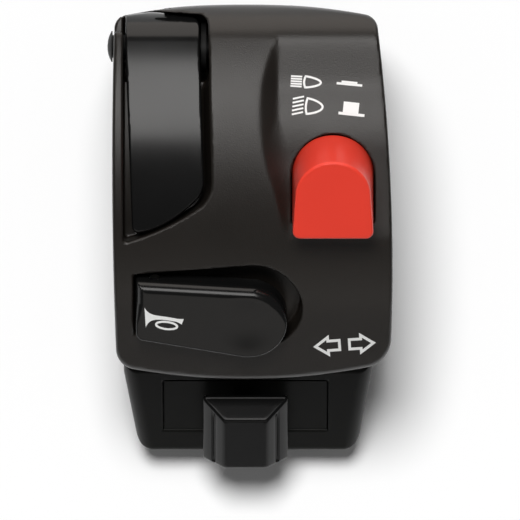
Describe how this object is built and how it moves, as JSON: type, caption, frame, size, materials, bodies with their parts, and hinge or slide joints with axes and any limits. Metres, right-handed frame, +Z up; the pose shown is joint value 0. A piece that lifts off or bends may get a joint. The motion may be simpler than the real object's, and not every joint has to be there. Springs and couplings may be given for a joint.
{
  "type": "handlebar switch cluster",
  "caption": "Left-hand motorcycle handlebar switch cluster in clamped black shells, with cold-start lever, red dip button, horn paddle and sliding turn-signal knob.",
  "frame": {"origin": "centre of the handlebar bore, on the bar's axis, midway along the clamp", "axes": "+X along the bar towards the middle of the bike, +Y forward, +Z up out of the face with the controls"},
  "size_m": [0.0498, 0.0815, 0.0576],
  "materials": {
    "housing_black": "fine grained",
    "lower_black": "satin",
    "gloss_black": "gloss",
    "red": "satin gloss",
    "nylon": "natural",
    "steel": "zinc plated",
    "brass": "stamped",
    "rubber": "moulded"
  },
  "bodies": {
    "housing": {"upper_housing": "housing_black", "lower_housing": "lower_black", "clamp_screws": "steel", "clamp_inserts": "brass", "lever_pin": "steel", "lever_friction_washer": "steel", "lever_clip": "steel", "dip_spring": "steel", "dip_frame": "nylon", "dip_frame_screws": "steel", "dip_latch_wire": "steel", "dip_terminals": "brass", "horn_hinge_pin": "steel", "horn_spring": "steel", "horn_fixed_contact": "brass", "indicator_plate": "lower_black", "indicator_return_springs": "steel", "indicator_base": "nylon", "indicator_terminals": "brass", "indicator_base_screws": "steel", "cable_grommet": "rubber"},
    "lever": {"choke_lever": "gloss_black", "cable_nipple": "brass"},
    "dip": {"dip_button": "red", "dip_plunger": "nylon", "dip_bridge": "brass"},
    "horn": {"horn_button": "gloss_black", "horn_moving_contact": "brass"},
    "slider": {"indicator_carriage": "nylon", "indicator_bridge": "brass", "indicator_cancel_spring": "steel"},
    "knob": {"indicator_knob": "gloss_black"}
  },
  "joints": [
    {"name": "lever_swing", "type": "hinge", "parent": "housing", "child": "lever", "pos_m": [-0.01562, 0.0215, 0.02077], "axis": [-1, 0, 0], "range_deg": [0, 55]},
    {"name": "dip_press", "type": "slide", "parent": "housing", "child": "dip", "axis": [0, 0.4067, -0.9135], "range_m": [0, 0.0035], "stiffness_N_per_m": 1200, "springref_m": -0.0015, "deforming": ["dip_spring"]},
    {"name": "horn_press", "type": "hinge", "parent": "housing", "child": "horn", "pos_m": [-0.01705, -0.02333, 0.01733], "axis": [0, 0.866, 0.5], "range_deg": [0, 4.5], "stiffness_Nm_per_rad": 0.4, "springref_deg": -2.86, "deforming": ["horn_spring"]},
    {"name": "indicator_slide", "type": "slide", "parent": "housing", "child": "slider", "axis": [1, 0, 0], "range_m": [-0.0045, 0.0045], "stiffness_N_per_m": 600, "deforming": ["indicator_return_springs"]},
    {"name": "indicator_cancel", "type": "slide", "parent": "slider", "child": "knob", "axis": [0, 0.7071, -0.7071], "range_m": [0, 0.002], "stiffness_N_per_m": 1000, "springref_m": -0.001, "deforming": ["indicator_cancel_spring"]}
  ]
}
